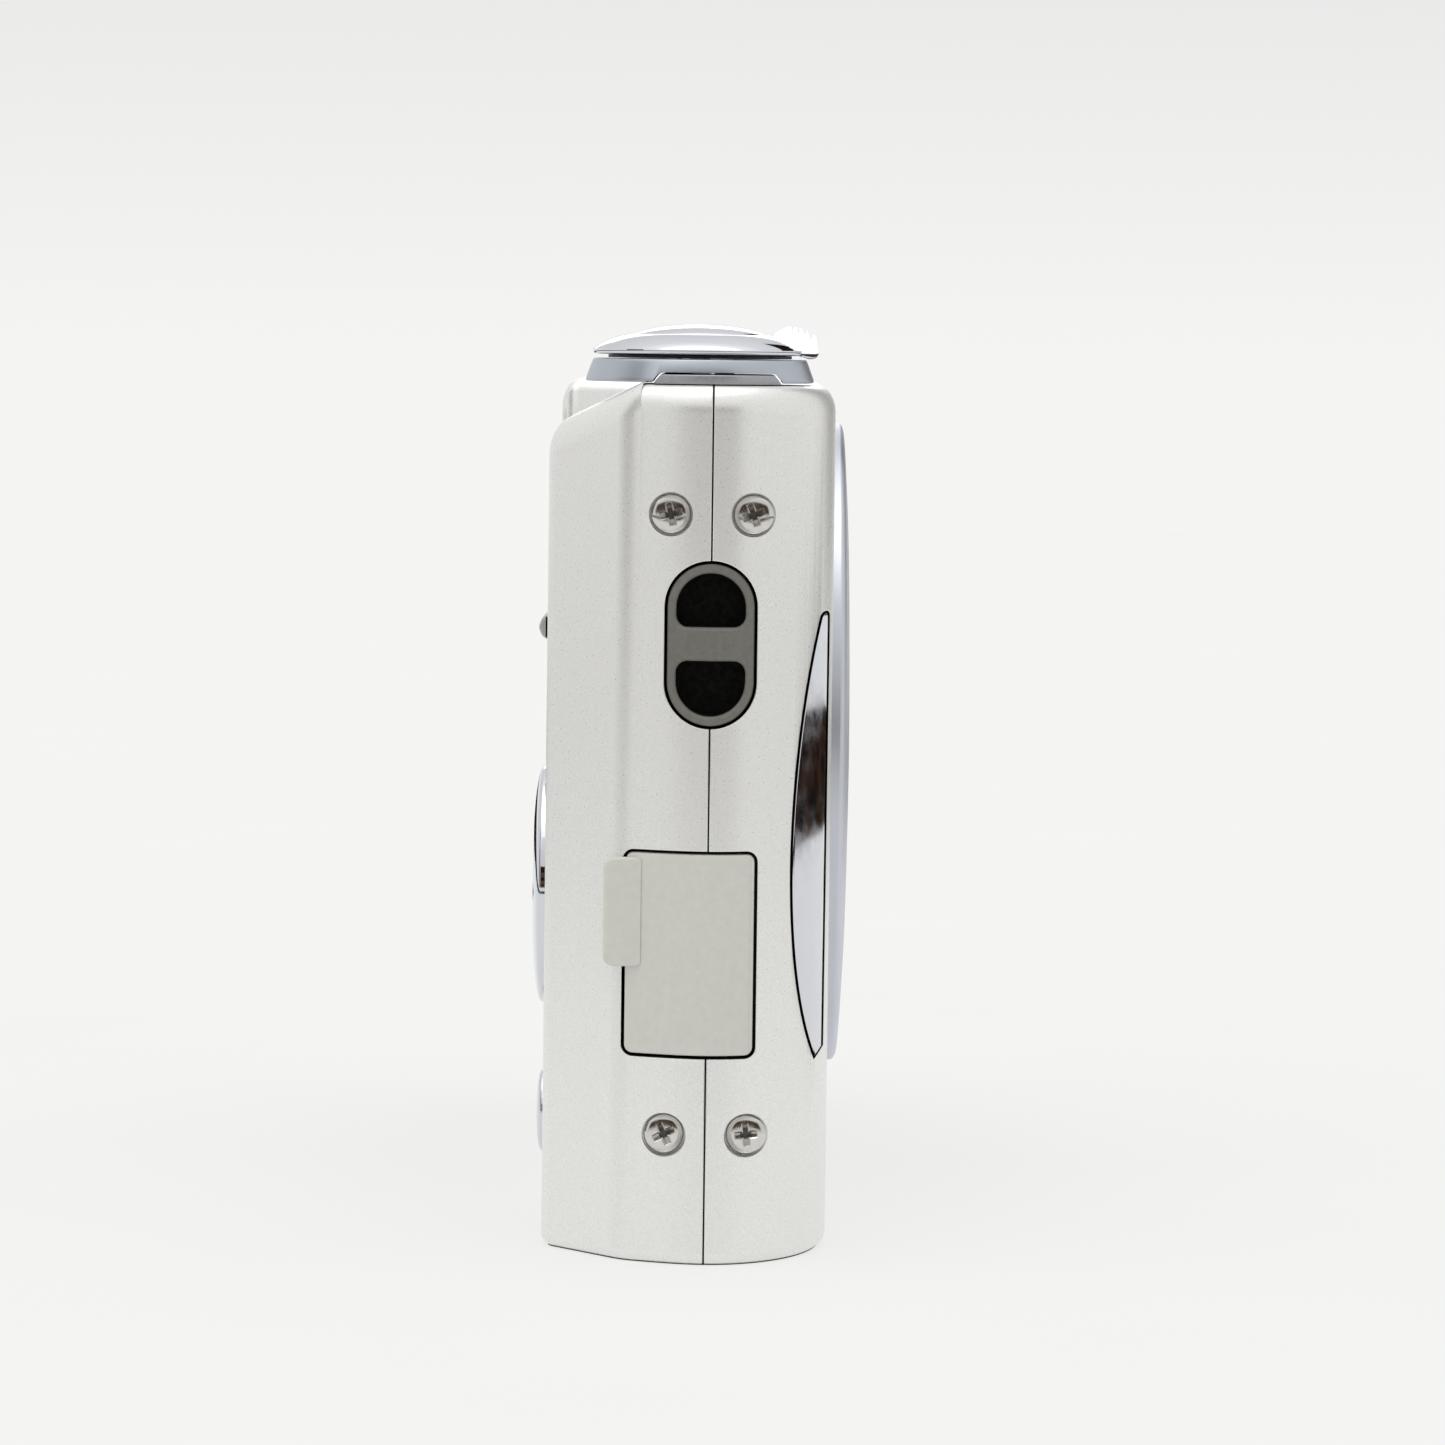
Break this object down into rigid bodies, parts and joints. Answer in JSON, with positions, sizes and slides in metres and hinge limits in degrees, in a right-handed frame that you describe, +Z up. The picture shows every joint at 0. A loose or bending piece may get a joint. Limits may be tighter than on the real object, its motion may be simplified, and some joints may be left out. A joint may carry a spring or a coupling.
{
  "type": "compact digital camera",
  "caption": "Slim box-shaped compact digital camera with a retracting zoom lens, a ring-shaped zoom lever round its shutter button, a strap lug and a rubber jack cover at the grip end.",
  "frame": {"origin": "centre of the bounding box, at the base that the camera stands on", "axes": "+X along the width, away from the grip end; -Y to the front, where the lens is; +Y to the rear screen; +Z up"},
  "size_m": [0.092, 0.0228, 0.064],
  "materials": {
    "silver_paint": "satin metallic",
    "satin_grey": "satin",
    "blue_chrome": "tinted mirror",
    "bright_chrome": "mirror",
    "nickel": "bright",
    "dark_plastic": "matte",
    "pale_rubber": "matte",
    "black_plastic": "matte",
    "anodised": "satin",
    "lens_glass": "coated",
    "clear_plastic": "clear",
    "screen_plastic": "gloss",
    "grey_plastic": "matte",
    "steel": "satin",
    "circuit_board": "satin",
    "battery_wrap": "matte"
  },
  "bodies": {
    "camera_body": {"front_cover": "silver_paint", "rear_cover": "silver_paint", "top_strip": "satin_grey", "zoom_collar": "blue_chrome", "strap_lug": "dark_plastic", "grip_accent": "bright_chrome", "jack_plate": "black_plastic", "usb_socket": "steel", "power_socket": "black_plastic", "lens_bezel": "blue_chrome", "lens_housing": "black_plastic", "zoom_motor": "steel", "sensor_board": "circuit_board", "image_sensor": "lens_glass", "flash_window": "clear_plastic", "flash_reflector": "bright_chrome", "focus_lamp": "clear_plastic", "screen_window": "screen_plastic", "screen_panel": "black_plastic", "status_lamp": "clear_plastic", "button_board": "circuit_board", "tripod_bush": "steel", "battery_cage": "black_plastic", "battery": "battery_wrap", "memory_card": "black_plastic", "main_board": "circuit_board", "chassis": "steel", "flash_capacitor": "battery_wrap", "speaker": "black_plastic", "grip_screw_upper_front": "nickel", "far_screw_upper_front": "nickel", "grip_screw_upper_rear": "nickel", "far_screw_upper_rear": "nickel", "grip_screw_lower_front": "nickel", "far_screw_lower_front": "nickel", "grip_screw_lower_rear": "nickel", "far_screw_lower_rear": "nickel", "base_screw_1": "nickel", "base_screw_2": "nickel", "base_screw_3": "nickel"},
    "shutter_button": {"shutter_button": "bright_chrome"},
    "zoom_lever": {"zoom_lever": "bright_chrome"},
    "power_button": {"power_button": "bright_chrome"},
    "pad_carrier": {"pad_carrier": "black_plastic"},
    "pad_ring": {"pad_ring": "bright_chrome"},
    "ok_button": {"ok_button": "bright_chrome"},
    "menu_button": {"menu_button": "bright_chrome"},
    "display_button": {"display_button": "bright_chrome"},
    "mode_slider": {"mode_slider": "grey_plastic"},
    "jack_cover": {"jack_cover": "pale_rubber"},
    "lens_tube_outer": {"lens_tube_outer": "anodised"},
    "lens_tube_inner": {"lens_tube_inner": "anodised", "lens_face": "black_plastic", "lens_cell": "black_plastic", "front_lens": "lens_glass", "rear_lens": "lens_glass"},
    "barrier_blade_upper": {"barrier_blade_upper": "black_plastic"},
    "barrier_blade_lower": {"barrier_blade_lower": "black_plastic"},
    "battery_door": {"battery_door": "silver_paint"},
    "door_latch": {"door_latch": "grey_plastic"}
  },
  "joints": [
    {"name": "shutter_press", "type": "slide", "parent": "camera_body", "child": "shutter_button", "axis": [0, 0, -1], "range_m": [0, 0.0005], "stiffness_N_per_m": 900},
    {"name": "zoom_turn", "type": "hinge", "parent": "camera_body", "child": "zoom_lever", "pos_m": [-0.035, 0.00005, 0.0618], "axis": [0, 0, 1], "range_deg": [-20, 20], "stiffness_Nm_per_rad": 0.02},
    {"name": "power_press", "type": "slide", "parent": "camera_body", "child": "power_button", "axis": [0, 0, -1], "range_m": [0, 0.0004], "stiffness_N_per_m": 900},
    {"name": "pad_tilt_up_down", "type": "hinge", "parent": "camera_body", "child": "pad_carrier", "pos_m": [-0.0275, 0.00825, 0.0243], "axis": [1, 0, 0], "range_deg": [-2, 2], "stiffness_Nm_per_rad": 0.3},
    {"name": "pad_tilt_left_right", "type": "hinge", "parent": "pad_carrier", "child": "pad_ring", "pos_m": [-0.0275, 0.00825, 0.0243], "axis": [0, 0, 1], "range_deg": [-2, 2], "stiffness_Nm_per_rad": 0.3},
    {"name": "ok_press", "type": "slide", "parent": "camera_body", "child": "ok_button", "axis": [0, -1, 0], "range_m": [0, 0.0004], "stiffness_N_per_m": 900},
    {"name": "menu_press", "type": "slide", "parent": "camera_body", "child": "menu_button", "axis": [0, -1, 0], "range_m": [0, 0.0004], "stiffness_N_per_m": 900},
    {"name": "display_press", "type": "slide", "parent": "camera_body", "child": "display_button", "axis": [0, -1, 0], "range_m": [0, 0.0004], "stiffness_N_per_m": 900},
    {"name": "mode_slide", "type": "slide", "parent": "camera_body", "child": "mode_slider", "axis": [1, 0, 0], "range_m": [-0.002, 0.002]},
    {"name": "jack_cover_swing", "type": "hinge", "parent": "camera_body", "child": "jack_cover", "pos_m": [-0.0451, -0.00419, 0.0212], "axis": [0, 0, 1], "range_deg": [0, 100]},
    {"name": "lens_extend", "type": "slide", "parent": "camera_body", "child": "lens_tube_outer", "axis": [0, -1, 0], "range_m": [0, 0.012]},
    {"name": "lens_inner_extend", "type": "slide", "parent": "lens_tube_outer", "child": "lens_tube_inner", "axis": [0, -1, 0], "range_m": [0, 0.01]},
    {"name": "blade_upper_open", "type": "hinge", "parent": "lens_tube_inner", "child": "barrier_blade_upper", "pos_m": [-0.0006, -0.00985, 0.0322], "axis": [0, -1, 0], "range_deg": [0, 39]},
    {"name": "blade_lower_open", "type": "hinge", "parent": "lens_tube_inner", "child": "barrier_blade_lower", "pos_m": [0.0166, -0.00985, 0.0322], "axis": [0, -1, 0], "range_deg": [0, 39]},
    {"name": "battery_door_swing", "type": "hinge", "parent": "camera_body", "child": "battery_door", "pos_m": [-0.00817, -0.00085, 0.0003], "axis": [0, -1, 0], "range_deg": [0, 90]},
    {"name": "latch_slide", "type": "slide", "parent": "battery_door", "child": "door_latch", "axis": [1, 0, 0], "range_m": [0, 0.0015]}
  ],
  "couplings": [
    {"joint": "lens_inner_extend", "follows": "lens_extend", "ratio": 0.8333},
    {"joint": "blade_upper_open", "follows": "lens_extend", "rad_per_m": 56.713},
    {"joint": "blade_lower_open", "follows": "lens_extend", "rad_per_m": 56.713}
  ]
}
